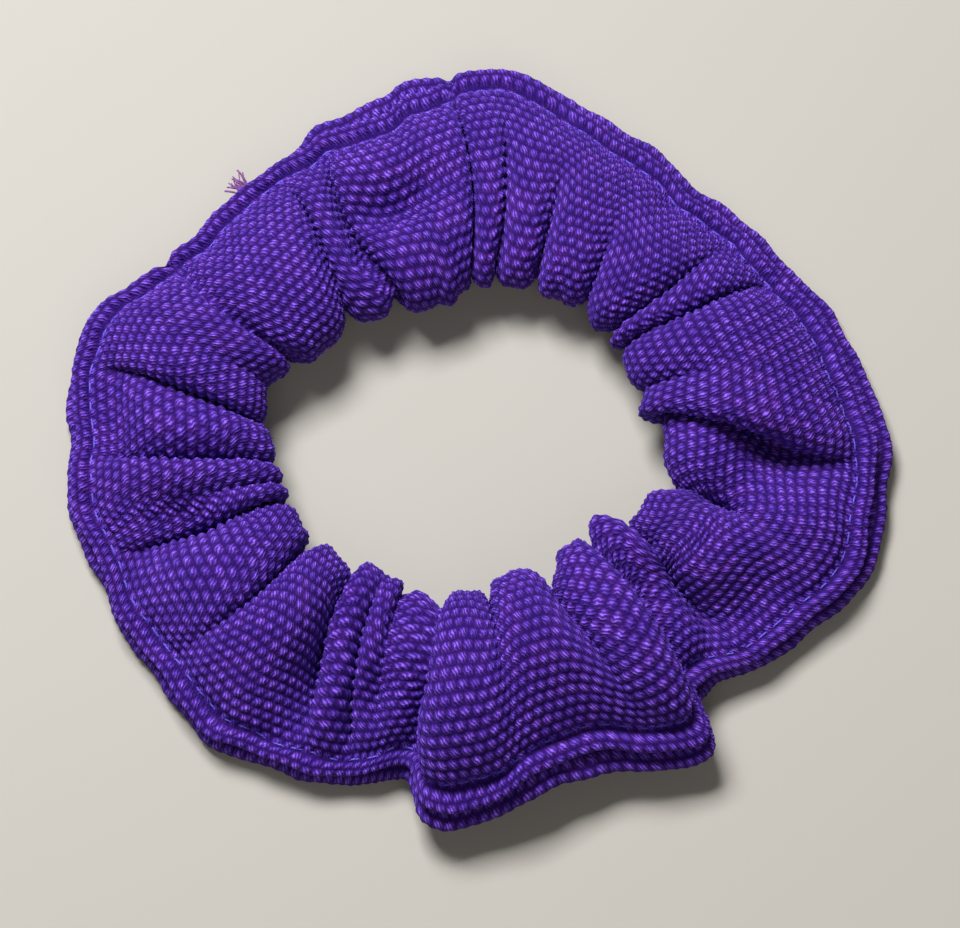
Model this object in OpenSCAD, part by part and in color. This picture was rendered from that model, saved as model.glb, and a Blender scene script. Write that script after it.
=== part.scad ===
// Gathered knit scrunchie: a strip of thick knit is folded lengthwise round a loop of flat
// elastic, its long edges are turned in and topstitched together as an outer flange, and the
// elastic gathers the cover into puffs. Millimetres, +Z up, resting on the plane z = 0.

/* [Opening] */
// Relaxed width of the opening between the gathered rims, along X
opening_w = 58; // [48:1:70]
// Relaxed depth of the opening between the gathered rims, along Y
opening_d = 48; // [38:1:60]

/* [Cover] */
// Width of the lying cover, from the gathered rim to the lower lip
cover_w = 28.5; // [24:0.5:38]
// Height of the cover at the bottom of a crease
crease_h = 11.5; // [10.5:0.5:14]
// Height that a puff stands above its creases
puff_h = 5.5; // [1:0.5:8]
// How far a puff bulges into the opening beyond its creases
puff_bulge = 1.8; // [0.5:0.1:3]
// Thickness of one layer of knit
knit_t = 1.1; // [0.8:0.1:1.3]

/* [Stitched flange] */
// Width of the flange that the topstitching closes
flange_w = 6; // [5:0.5:8]
// How far the lower lip stands out beyond the upper lip
lip_step = 2.4; // [1:0.1:3]
// Depth of the raw edge that is turned in behind each lip
turn_in = 5; // [3:0.5:6]
// Free gap between two layers of the flange
layer_gap = 0.2; // [0.1:0.05:0.3]
// Height of the flange above the surface that the cover rests on
flange_lift = 0.8; // [0.6:0.1:1.5]

/* [Elastic] */
// Width of the flat elastic
elastic_w = 5; // [3:0.5:5]
// Thickness of the flat elastic
elastic_t = 1; // [0.6:0.1:1.2]
// Free space between the stitches inside the rim of the cover and the elastic
elastic_gap = 1.6; // [1.5:0.1:3]
// Free space between the elastic and the stitches on the layer that it lies over
elastic_drop = 1.2; // [1:0.1:2]
// Length by which the two ends of the elastic lap over each other
elastic_lap = 12; // [8:1:16]

/* [Thread] */
// Diameter of the sewing thread
thread_d = 0.3; // [0.2:0.05:0.4]
// Distance from one needle hole of the topstitching to the next
stitch_pitch = 2.7; // [2:0.1:4]
// Distance of the topstitching from the upper lip
stitch_inset = 2.7; // [2:0.1:3.5]
// Distance from one stitch of a cross seam to the next
seam_pitch = 2.4; // [1.8:0.1:4]
// Free gap between the stitches and the knit that they lie on
thread_gap = 0.1; // [0.05:0.01:0.15]

/* [Seams] */
// Free gap between the short strip and the long strip at each cross seam
seam_gap = 0.3; // [0.2:0.05:0.5]

/* [Hidden] */

KNIT_COLOUR = "rebeccapurple";
THREAD_COLOUR = "mediumslateblue";
ELASTIC_COLOUR = "whitesmoke";

// Directions of the two cross seams, in degrees anticlockwise from +X
PLAIN_SEAM = 90;
LAPPED_SEAM = 152;
// Directions of the creases between the puffs of each strip, its two seams included
SHORT_CREASES = [PLAIN_SEAM, 119, 132, LAPPED_SEAM];
LONG_CREASES = [LAPPED_SEAM, 170, 181, 200, 217, 231, 244, 256, 277, 299, 320, 331, 345, 363,
                377, 391, 411, 429, 440, 360 + PLAIN_SEAM];
// How far the lower lip stands outside the plain oval, as [direction, offset]
LIP_WAVE = [[0, 1.7], [15, -1], [30, -2.6], [45, -3.2], [60, -2.5], [75, 0], [90, 1.6],
            [105, -0.2], [120, -3.6], [135, -3.4], [150, -2.4], [165, 0.6], [180, -1.3],
            [210, -1.2], [225, 0.8], [240, -0.8], [256, -3.6], [265, 4.6], [272, 4.4],
            [284, 0], [291, -1], [303, 3.4], [308, 2.4], [316, -5.5], [330, -2.4], [345, 2.1],
            [360, 1.7]];
// How much taller the puffs stand in some directions, as [direction, extra height]
PUFF_WAVE = [[0, 0.5], [60, -0.5], [105, 1], [152, 0.5], [200, 0], [252, 0], [268, 4],
             [308, 4], [322, 0.5], [345, 0], [360, 0.5]];

STATIONS_PER_PUFF = 5;     // cross-sections between one crease and the next
CURVE_STEPS = 4;           // straight pieces in each smooth curve of the cross-section
LIP_STEPS = 3;             // straight pieces in the fold of a lip
PUFF_ROUNDNESS = 0.6;      // under 1 makes puffs full and creases sharp
CREST_AT = 0.38;           // share of the cover's width at which it stands tallest
REST_BEYOND = 5.2;         // distance beyond the elastic at which the cover starts to lie flat
REST_TO = 0.66;            // share of the cover's width at which it stops lying flat
RIM_SHARE = 0.82;          // how squarely the cover turns round the rim
RIM_REACH = 0.66;          // how far it keeps its direction on the way to the rim
CURVE_REACH = 0.45;        // how far the cover's other curves keep their direction
ELASTIC_STEP = 4;          // degrees between the corners of the elastic's outline
LAP_STARTS = 330;          // direction in which the lapped ends of the elastic begin
LAP_RISES = 70;            // degrees over which the outer end climbs over the inner end
THREAD_SIDES = 16;
JOIN_ROWS = 3;             // rows of stitches across the lapped elastic
JOIN_PER_ROW = 3;          // stitches in each of those rows

layer_pitch = knit_t + layer_gap;
lower_layer_z = flange_lift + knit_t / 2;
upper_layer_z = lower_layer_z + 3 * layer_pitch;
seam_room = thread_gap + thread_d;      // what the stitches inside the cover take up
rim_z = knit_t + seam_room + elastic_drop + elastic_w / 2;
// From the rim's crease line to the elastic's inner face
elastic_in = knit_t + seam_room + elastic_gap;
oval_w = opening_w / 2;
oval_d = opening_d / 2;

// ---- plan: everything is placed by a direction round the ring ----

function direction(a) = [cos(a), sin(a)];

// Distance from the middle to an oval that runs parallel to the opening, out by "out"
function oval(a, out) =
    let (w = oval_w + out, d = oval_d + out)
    w * d / sqrt(pow(d * cos(a), 2) + pow(w * sin(a), 2));

// Smoothly reads a list of [direction, value] at direction a
function eased(u) = (1 - cos(180 * u)) / 2;
function wave(list, a) =
    let (b = (a % 360 + 360) % 360,
         i = max([for (k = [0:len(list) - 2]) if (list[k][0] <= b) k]),
         u = (b - list[i][0]) / (list[i + 1][0] - list[i][0]))
    list[i][1] + (list[i + 1][1] - list[i][1]) * eased(u);

function rim_radius(a, puff) = oval(a, 0) - puff_bulge * puff;
function lip_radius(a) = oval(a, cover_w) + wave(LIP_WAVE, a);

// ---- cross-section of the cover, as [distance from the middle, height] ----

function bezier(p, steps, skip = 0) = [for (k = [skip:steps])
    let (u = k / steps, v = 1 - u)
    v * v * v * p[0] + 3 * v * v * u * p[1] + 3 * v * u * u * p[2] + u * u * u * p[3]];

// Half turn of the knit at a lip, from height z0 to the layer above or below it
function lip_fold(r, z0, z1) = [for (k = [0:LIP_STEPS])
    let (turn = -90 + 180 * k / LIP_STEPS, half = (z1 - z0) / 2)
    [r - layer_pitch / 2 + layer_pitch / 2 * cos(turn), z0 + half + half * sin(turn)]];

// Middle of the knit, from the upper raw edge over the top, round the rim and back below
function section_path(a, puff) =
    let (rim = rim_radius(a, puff) + knit_t / 2,
         lower_lip = lip_radius(a) - knit_t / 2,
         upper_lip = lower_lip - lip_step,
         width = lower_lip - rim,
         top = crease_h + (puff_h + wave(PUFF_WAVE, a)) * puff - knit_t / 2,
         crest = rim + CREST_AT * width,
         rest_from = rim + elastic_in + elastic_t + REST_BEYOND,
         rest_to = rim + REST_TO * width,
         shoulder = upper_lip - flange_w,
         heel = lower_lip - flange_w)
    concat(
        [[upper_lip - turn_in, upper_layer_z - layer_pitch]],
        lip_fold(upper_lip, upper_layer_z - layer_pitch, upper_layer_z),
        bezier([[shoulder, upper_layer_z],
                [shoulder - CURVE_REACH * (shoulder - crest), upper_layer_z],
                [crest + CURVE_REACH * (shoulder - crest), top],
                [crest, top]], CURVE_STEPS),
        bezier([[crest, top],
                [crest - RIM_REACH * (crest - rim), top],
                [rim, rim_z + RIM_SHARE * (top - rim_z)],
                [rim, rim_z]], CURVE_STEPS, 1),
        bezier([[rim, rim_z],
                [rim, rim_z - RIM_SHARE * (rim_z - knit_t / 2)],
                [rest_from - RIM_REACH * (rest_from - rim), knit_t / 2],
                [rest_from, knit_t / 2]], CURVE_STEPS, 1),
        bezier([[rest_to, knit_t / 2],
                [rest_to + CURVE_REACH * (heel - rest_to), knit_t / 2],
                [heel - CURVE_REACH * (heel - rest_to), lower_layer_z],
                [heel, lower_layer_z]], CURVE_STEPS),
        lip_fold(lower_lip, lower_layer_z, lower_layer_z + layer_pitch),
        [[lower_lip - turn_in, lower_layer_z + layer_pitch]]);

// The path moved sideways by d, square to its own direction at each point
function beside(path, d) = [for (k = [0:len(path) - 1])
    let (before = path[max(k - 1, 0)], after = path[min(k + 1, len(path) - 1)],
         into = path[k] - before, out = after - path[k],
         side = into / max(norm(into), 0.001) + out / max(norm(out), 0.001),
         length = norm(side),
         miter = k == 0 || k == len(path) - 1 ? 1 : 2 / max(length, 1.4))
    path[k] + d * miter * [side.y, -side.x] / length];

function reversed(list) = [for (k = [len(list) - 1:-1:0]) list[k]];

function section(a, puff) =
    let (path = section_path(a, puff))
    concat(beside(path, knit_t / 2), reversed(beside(path, -knit_t / 2)));

// ---- a strip is its sections joined from one seam to the other ----

// Each station is [direction, puff], with puff 0 in a crease and 1 on top of a puff
function stations(creases) = concat(
    [for (i = [0:len(creases) - 2], k = [0:STATIONS_PER_PUFF - 1])
        let (u = k / STATIONS_PER_PUFF)
        [creases[i] + (creases[i + 1] - creases[i]) * u, pow(sin(180 * u), PUFF_ROUNDNESS)]],
    [[creases[len(creases) - 1], 0]]);

function upright(a, p) = [p.x * cos(a), p.x * sin(a), p.y];

function strip_points(creases) = [for (s = stations(creases), p = section(s[0], s[1]))
    upright(s[0], p)];

// The two ends are closed with a row of four-sided faces across the thickness of the knit
function strip_faces(rows, around) =
    let (layer = around / 2, end = (rows - 1) * around)
    concat(
        [for (k = [0:layer - 2]) [k, k + 1, around - 2 - k, around - 1 - k]],
        [for (i = [0:rows - 2], k = [0:around - 1], half = [0, 1])
            let (n = (k + 1) % around, low = i * around, high = low + around)
            half == 0 ? [low + k, high + k, high + n] : [low + k, high + n, low + n]],
        [for (k = [0:layer - 2])
            [end + around - 1 - k, end + around - 2 - k, end + k + 1, end + k]]);

short_points = strip_points(trimmed(SHORT_CREASES));
long_points = strip_points(LONG_CREASES);

// The short strip stops clear of the long strip at both seams
function seam_turn(a) = seam_gap / oval(a, 0) * 180 / PI;
function trimmed(creases) =
    let (last = len(creases) - 1)
    [for (k = [0:last])
        creases[k] + (k == 0 ? seam_turn(creases[0]) : k == last ? -seam_turn(creases[last]) : 0)];

// The middle of the ring is moved so that the origin is below the middle of the whole cover
cover_points = concat(short_points, long_points);
function middle(axis) =
    let (v = [for (p = cover_points) p[axis]])
    (min(v) + max(v)) / 2;
RING_CENTRE = [-middle(0), -middle(1), 0];

module strip(points, creases) {
    around = len(section(creases[0], 0));
    translate(RING_CENTRE)
        polyhedron(points, strip_faces(len(stations(creases)), around), convexity = 10);
}

module cover_long_strip() {
    color(KNIT_COLOUR) strip(long_points, LONG_CREASES);
}

module cover_short_strip() {
    color(KNIT_COLOUR) strip(short_points, SHORT_CREASES);
}

// ---- elastic: one flat band whose outer end laps over its inner end ----

lap_turn = elastic_lap / oval(LAP_STARTS, elastic_in) * 180 / PI;
LAP_LIFT = elastic_t + 0.1;

// Height of the band's inner face above the parallel oval, after "turn" degrees from its start
function lap_lift(turn) = LAP_LIFT * eased(min(max((turn - 360 + LAP_RISES) / LAP_RISES, 0), 1));
function elastic_point(turn, out) =
    let (a = LAP_STARTS + turn)
    oval(a, elastic_in + out + lap_lift(turn)) * direction(a);

module elastic_band() {
    turns = [for (t = [0:ELASTIC_STEP:360 + lap_turn]) t];
    outline = concat([for (t = turns) elastic_point(t, 0)],
                     reversed([for (t = turns) elastic_point(t, elastic_t)]));
    color(ELASTIC_COLOUR)
        translate(RING_CENTRE + [0, 0, rim_z - elastic_w / 2])
            linear_extrude(elastic_w) polygon(outline);
}

// ---- thread: each stitch is a short straight rod ----

module rod(from, to, d = thread_d) {
    along = to - from;
    length = norm(along);
    translate(RING_CENTRE + from)
        rotate([0, acos(along.z / length), atan2(along.y, along.x)])
            cylinder(h = length, d = d, $fn = THREAD_SIDES);
}

// Stitches across the lapped ends of the elastic, from inside the inner end to outside the outer
module elastic_join_thread() {
    inside = -thread_d / 2 - thread_gap;
    outside = elastic_t + LAP_LIFT + thread_d / 2 + thread_gap;
    row_step = elastic_w / (JOIN_ROWS + 1);
    turn_step = lap_turn / (JOIN_PER_ROW + 1);
    color(THREAD_COLOUR)
        for (row = [1:JOIN_ROWS], n = [1:JOIN_PER_ROW]) {
            a = LAP_STARTS + n * turn_step;
            z = rim_z - elastic_w / 2 + row * row_step;
            inner = oval(a, elastic_in + inside);
            outer = oval(a, elastic_in + outside);
            rod(upright(a, [inner, z]), upright(a, [outer, z]));
        }
}

// Direction round the ring, spread so that the topstitches are all about one pitch long
stitch_count = round(2 * PI * (sqrt((pow(oval_w + cover_w, 2) + pow(oval_d + cover_w, 2)) / 2)
                               - lip_step - stitch_inset) / stitch_pitch);
STITCH_SHARE = 0.8;        // share of the pitch that shows between two needle holes

module topstitches(z) {
    step = 360 / stitch_count;
    half = step * STITCH_SHARE / 2;
    for (k = [0:stitch_count - 1]) {
        a = k * step;
        ends = [for (b = [a - half, a + half])
            upright(b, [lip_radius(b) - knit_t / 2 - lip_step - stitch_inset, z])];
        rod(ends[0], ends[1]);
    }
}

module needle_thread() {
    color(THREAD_COLOUR) topstitches(upper_layer_z + knit_t / 2 + thread_d / 2 + thread_gap);
}

module bobbin_thread() {
    color(THREAD_COLOUR) topstitches(lower_layer_z - knit_t / 2 - thread_d / 2 - thread_gap);
}

// Stitches inside the cover that bridge a cross seam, spaced along the cross-section.
// They stop short of the flange, where the turned-in edges leave no room for them.
function stitch_line(a) =
    beside(section_path(a, 0), -knit_t / 2 - thread_d / 2 - thread_gap);

module seam_stitches(seam) {
    half = seam_turn(seam) * 1.5;
    before = stitch_line(seam - half);
    after = stitch_line(seam + half);
    first = LIP_STEPS + 3;
    last = len(before) - LIP_STEPS - 5;
    for (k = [first:last - 1]) {
        count = max(1, floor(norm(before[k + 1] - before[k]) / seam_pitch));
        for (n = [0:count - 1]) {
            share = (n + 0.5) / count;
            from = before[k] + (before[k + 1] - before[k]) * share;
            to = after[k] + (after[k + 1] - after[k]) * share;
            rod(upright(seam - half, from), upright(seam + half, to));
        }
    }
}

module cross_seam_thread() {
    color(THREAD_COLOUR) seam_stitches(PLAIN_SEAM);
}

module closing_thread() {
    color(THREAD_COLOUR) seam_stitches(LAPPED_SEAM);
}

cover_long_strip();
cover_short_strip();
elastic_band();
elastic_join_thread();
needle_thread();
bobbin_thread();
cross_seam_thread();
closing_thread();
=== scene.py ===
"""A gathered knit scrunchie lying flat: knit cover, topstitching, elastic, seam threads and fray."""

import math

import bpy
import numpy as np
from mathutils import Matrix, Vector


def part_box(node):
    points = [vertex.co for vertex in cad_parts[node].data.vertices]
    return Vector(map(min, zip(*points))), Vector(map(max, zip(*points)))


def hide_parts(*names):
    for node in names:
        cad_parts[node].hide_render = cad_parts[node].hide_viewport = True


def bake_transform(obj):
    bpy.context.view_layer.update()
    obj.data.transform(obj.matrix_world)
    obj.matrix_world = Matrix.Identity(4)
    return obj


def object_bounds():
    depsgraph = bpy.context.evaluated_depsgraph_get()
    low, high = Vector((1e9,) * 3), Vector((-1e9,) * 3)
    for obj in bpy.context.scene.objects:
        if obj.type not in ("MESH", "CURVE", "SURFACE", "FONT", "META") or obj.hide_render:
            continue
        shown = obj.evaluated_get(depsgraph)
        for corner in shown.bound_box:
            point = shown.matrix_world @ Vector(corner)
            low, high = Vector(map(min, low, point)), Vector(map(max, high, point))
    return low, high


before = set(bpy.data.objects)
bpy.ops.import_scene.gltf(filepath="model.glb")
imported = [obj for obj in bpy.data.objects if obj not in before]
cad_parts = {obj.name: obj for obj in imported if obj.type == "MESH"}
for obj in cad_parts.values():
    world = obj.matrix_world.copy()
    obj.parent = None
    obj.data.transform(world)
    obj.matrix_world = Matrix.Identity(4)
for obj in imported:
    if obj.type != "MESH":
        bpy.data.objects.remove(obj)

CAD_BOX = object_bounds()
MM = 0.001

# ---- sizes, in millimetres and degrees ----

elastic_low, elastic_high = (np.array(corner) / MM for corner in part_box("elastic_band"))
ELASTIC_LAP_BULGE = 1.1    # the lapped ends push the elastic's box out on its +X side
ELASTIC_THICK = 1.0
RING = np.array([(elastic_low[0] + elastic_high[0] - ELASTIC_LAP_BULGE) / 2,
                 (elastic_low[1] + elastic_high[1]) / 2])
FLOOR = CAD_BOX[0][2] / MM

KNIT_THICK = 1.1
COURSE = 1.5               # length of cloth from one stitch to the next
FLANGE = 3.2               # flat width of the topstitched flange
TURN_IN = 4.5              # raw edge turned in behind each lip
LIP_HALF = 1.15            # half the thickness of a turned-in lip
STITCH_INSET = 2.7         # topstitching, in from the upper lip
STITCH_PITCH = 2.7
THREAD = 0.3
RIM_Z = 7.2                # height of the innermost line of the gathered rim
RIM_SOFT, LIP_SOFT = 3.0, 0.7      # degrees over which the corners of RIM and LIP are softened

# Radius of the gathered rim round the opening
RIM = [(0, 26.0), (8, 24.2), (20, 23.6), (40, 24.2), (57, 23.7), (72, 22.8), (88, 21.5),
       (98, 19.6), (107, 18.9), (117, 20.4), (128, 21.6), (147, 23.4), (158, 26.5), (166, 28.6),
       (172, 28.2), (183, 26.0), (200, 25.4), (216, 25.8), (226, 23.2), (234, 21.6), (246, 22.2),
       (260, 23.8), (268, 21.9), (286, 20.3), (302, 21.4), (312, 20.4), (326, 19.8), (337, 24.2),
       (345, 28.2), (354, 27.4)]
# Radius of the lower lip
LIP = [(2, 59.0), (18, 55.6), (34, 52.1), (50, 50.2), (62, 51.6), (70, 52.8), (76, 54.0),
       (83, 56.2), (88, 56.2), (94, 55.0), (100, 55.2), (102.5, 53.6), (111, 52.6),
       (115.5, 52.0), (118, 50.6), (131, 49.5), (141, 49.8), (150, 51.3), (154.7, 53.4),
       (157.2, 56.0), (163, 57.4), (178, 56.0), (189, 56.6),
       (199, 55.1), (215, 54.6), (230, 55.7), (248, 51.9), (258.5, 48.5), (260.6, 48.8),
       (261.6, 52.0), (262.8, 55.0), (267, 55.6), (272, 55.0), (277, 53.4), (284, 51.2),
       (291, 51.0), (297, 53.4), (304, 55.8), (307.3, 56.6), (309, 54.6), (310.8, 48.8),
       (315, 48.4), (329, 54.0), (341, 59.0), (352, 59.4)]
# How far the lower lip stands out beyond the upper one
STEP = [(0, 2.4), (30, 2.2), (60, 2.0), (76, 1.6), (85, 0.4), (90, 0.9), (97, 3.0),
        (108, 3.2), (115, 2.4), (120, 0.5), (150, 0.4), (180, 0.9), (210, 0.5), (255, 0.6),
        (262, 1.8), (275, 1.3), (281, 2.6), (300, 2.2), (308, 1.6), (312, 0.6), (330, 0.8),
        (345, 1.8)]
# Height that the flange is lifted off the table
LIFT = [(0, 1.6), (30, 0.6), (60, 1.2), (90, 0.9), (120, 0.4), (150, 1.2), (180, 0.9),
        (210, 0.4), (240, 0.6), (258, 0.3), (263, 4.6), (272, 4.4), (282, 6.6), (292, 4.6),
        (303, 4.0), (309, 5.0), (313, 1.0), (330, 0.6), (345, 1.0)]
# Free gap between the two lips
PARTING = [(0, 0.5), (40, 0.2), (75, 0.3), (110, 0.6), (150, 0.2), (180, 0.7), (215, 0.3),
           (258, 0.2), (270, 0.7), (282, 0.3), (296, 0.9), (306, 0.5), (330, 0.3)]
# Height of the puffs
CREST = [(0, 14.5), (25, 14.5), (60, 13.5), (90, 13.5), (107, 14.5), (125, 14.0), (145, 14.5),
         (165, 14.5), (190, 13.0), (210, 14.0), (230, 14.0), (252, 13.0), (256.5, 13.5),
         (259, 18.0), (266, 19.8), (287, 20.3), (309, 19.6), (314, 18.0), (318, 14.0),
         (335, 12.5), (350, 12.5)]

# Creases between the puffs: directions at the rim, halfway and at the flange, depths at the
# same three places, and how far the crease runs in under the puff on its anticlockwise side
CREASES = [
    ((88, 89, 93), (3.4, 0.9, 0.4), 0.0),
    ((104, 104, 104), (1.2, 0.2, 0.0), 0.0),
    ((117, 121, 116), (8.0, 6.5, 3.5), -1.6),
    ((135, 128, 125), (6.0, 4.5, 1.5), -1.0),
    ((157, 153.5, 148), (3.0, 2.0, 1.0), 0.0),
    ((165, 162, 157), (2.2, 0.3, 0.0), 0.0),
    ((177, 173, 169), (7.0, 7.0, 0.5), -2.6),
    ((186, 184.5, 181), (7.0, 7.0, 2.0), 1.5),
    ((193.5, 193, 191), (3.5, 1.0, 0.0), 0.0),
    ((200.5, 200.5, 200), (7.0, 8.0, 2.5), -2.2),
    ((215, 220, 217), (6.0, 4.0, 1.0), -1.0),
    ((227.5, 235.5, 241), (7.0, 8.5, 3.5), 1.6),
    ((239, 244, 249.5), (1.5, 6.5, 4.5), 1.0),
    ((248, 250.5, 254.5), (3.0, 2.2, 0.6), 0.0),
    ((259.5, 256.5, 259.8), (6.0, 8.0, 5.5), 2.8),
    ((275, 277, 279), (4.5, 2.5, 1.4), 0.0),
    ((299, 298, 301), (6.0, 3.4, 1.4), 0.0),
    ((321, 319, 311.5), (6.0, 7.5, 5.5), -2.5),
    ((334, 325, 319), (7.0, 8.5, 3.5), 1.0),
    ((347, 343, 338), (5.0, 2.2, 0.5), 0.0),
    ((363.5, 356.5, 354), (8.0, 9.5, 2.0), 4.0),
    ((376, 373, 371), (3.0, 0.3, 0.0), 0.0),
    ((391, 388.5, 388), (6.0, 5.5, 1.6), 1.4),
    ((397, 397, 398), (5.0, 4.0, 0.8), 0.0),
    ((410, 415, 417), (5.0, 1.2, 0.0), 0.0),
    ((428, 430, 432), (6.0, 2.0, 0.0), 0.0),
    ((440, 441, 445), (5.5, 3.0, 0.5), 0.8),
]
PLAIN_SEAM, LAPPED_SEAM = 0, 4     # their places in CREASES

# Soft hollows, or swellings where the depth is negative, in the top of the cover:
# direction, share of the way from rim to flange, reach in degrees, reach across, depth
HOLLOWS = [
    (108, 0.54, 12, 0.11, 6.4), (106, 0.84, 9, 0.09, -1.2), (121, 0.30, 4, 0.14, 3.6),
    (198, 0.62, 5.5, 0.26, 6.0), (176, 0.90, 7, 0.10, 4.0),
    (236, 0.66, 5, 0.26, 4.2), (250, 0.72, 4.5, 0.20, 3.4), (207, 0.88, 5, 0.10, 1.5),
    (345, 0.55, 10, 0.30, 1.0), (20, 0.60, 12, 0.30, -0.8), (140, 0.55, 9, 0.30, -0.7),
    (219, 0.65, 8, 0.22, -1.0), (70, 0.75, 8, 0.20, -0.8), (287, 0.85, 10, 0.15, 1.2),
    (352.5, 0.15, 5, 0.12, -2.0), (353.5, 0.54, 5.5, 0.28, 7.0), (345, 0.30, 3.5, 0.12, 3.6),
    (326, 0.84, 9, 0.17, 4.6), (322, 0.60, 3.5, 0.20, 3.4), (297, 0.45, 6, 0.30, 1.6),
    (163, 0.70, 7, 0.25, 0.8), (32, 0.42, 5, 0.20, 2.4), (172, 0.42, 4, 0.22, 2.2),
]

# ---- helpers ----


def around(table, smooth_deg, angles):
    """Reads a list of (direction, value) that runs right round the ring, with soft corners."""
    step = 0.25
    grid = np.arange(0, 360, step)
    directions, values = np.array(table, float).T
    raw = np.interp(grid, directions, values, period=360)
    reach = np.arange(-40, 40 + step, step)
    weights = np.exp(-0.5 * (reach / smooth_deg) ** 2)
    wide = np.concatenate([raw, raw, raw])
    soft = np.convolve(wide, weights / weights.sum(), mode="same")[len(grid):2 * len(grid)]
    return np.interp(np.mod(angles, 360), np.append(grid, 360), np.append(soft, soft[0]))


def smoothstep(low, high, value):
    share = np.clip((value - low) / (high - low), 0, 1)
    return share * share * (3 - 2 * share)


def unit(vectors):
    return vectors / np.maximum(np.linalg.norm(vectors, axis=-1, keepdims=True), 1e-9)


def bezier(p0, p1, p2, p3, count):
    """Cubic curves for many sections at once: each point is an array of (sections, 2)."""
    u = np.linspace(0, 1, count)[None, :, None]
    p0, p1, p2, p3 = (p[:, None, :] for p in (p0, p1, p2, p3))
    return ((1 - u) ** 3 * p0 + 3 * u * (1 - u) ** 2 * p1 + 3 * u * u * (1 - u) * p2
            + u ** 3 * p3)


def spaced(points, count):
    """The same line as count + 1 points, evenly spaced along its length."""
    step = np.linalg.norm(np.diff(points, axis=0), axis=1)
    along = np.concatenate([[0], np.cumsum(step)])
    at = np.linspace(0, along[-1], count + 1)
    return np.stack([np.interp(at, along, points[:, k]) for k in range(points.shape[1])], 1)


def finer(grid, times):
    """A grid of points with times as many steps along its first axis, on smooth curves."""
    ends = np.concatenate([2 * grid[:1] - grid[1:2], grid, 2 * grid[-1:] - grid[-2:-1]])
    u = (np.arange(times) / times).reshape((-1,) + (1,) * (grid.ndim - 1))
    pieces = []
    for k in range(len(grid) - 1):
        a, b, c, d = ends[k], ends[k + 1], ends[k + 2], ends[k + 3]
        pieces.append(0.5 * (2 * b + (c - a) * u + (2 * a - 5 * b + 4 * c - d) * u ** 2
                             + (3 * b - a - 3 * c + d) * u ** 3))
    return np.concatenate(pieces + [grid[-1:]])


def both_ways(grid, times_rows, times_columns):
    tall = finer(grid, times_rows)
    return np.swapaxes(finer(np.swapaxes(tall, 0, 1), times_columns), 0, 1)


def grid_normals(grid):
    """Outward normals of a grid of points: rows run across the cloth, columns along it."""
    across = np.gradient(grid, axis=0)
    along = np.gradient(grid, axis=1)
    return unit(np.cross(along, across))


# ---- the cover's plain cross-section ----

# Rows in the upper raw edge, the top, the underside and the lower raw edge
ROWS_A, ROWS_B, ROWS_C, ROWS_D = 3, 23, 21, 3
ROWS = ROWS_A + ROWS_B + ROWS_C + ROWS_D
RIM_ROW = ROWS_A + ROWS_B
UPPER_LIP_ROW, LOWER_LIP_ROW = ROWS_A, RIM_ROW + ROWS_C
RIM_SQUARE = 0.60          # how squarely the cover turns round its rim
HEEL_EASE = 0.5            # how gently the underside rises to the flange
CREST_AT = 0.40            # share of the way from the rim to the upper lip
REST_FROM, REST_TO = 0.30, 0.70    # where the cover rests, from the rim to the lower lip
CURVE_POINTS = 24          # points in each long curve of a cross-section


def wobble(angles, phase):
    """Small unevenness of a hand-sewn edge, in millimetres."""
    turn = np.radians(angles)
    return (0.22 * np.sin(19 * turn + phase) + 0.16 * np.sin(31 * turn + 2 * phase)
            + 0.12 * np.sin(47 * turn + 3 * phase))


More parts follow.
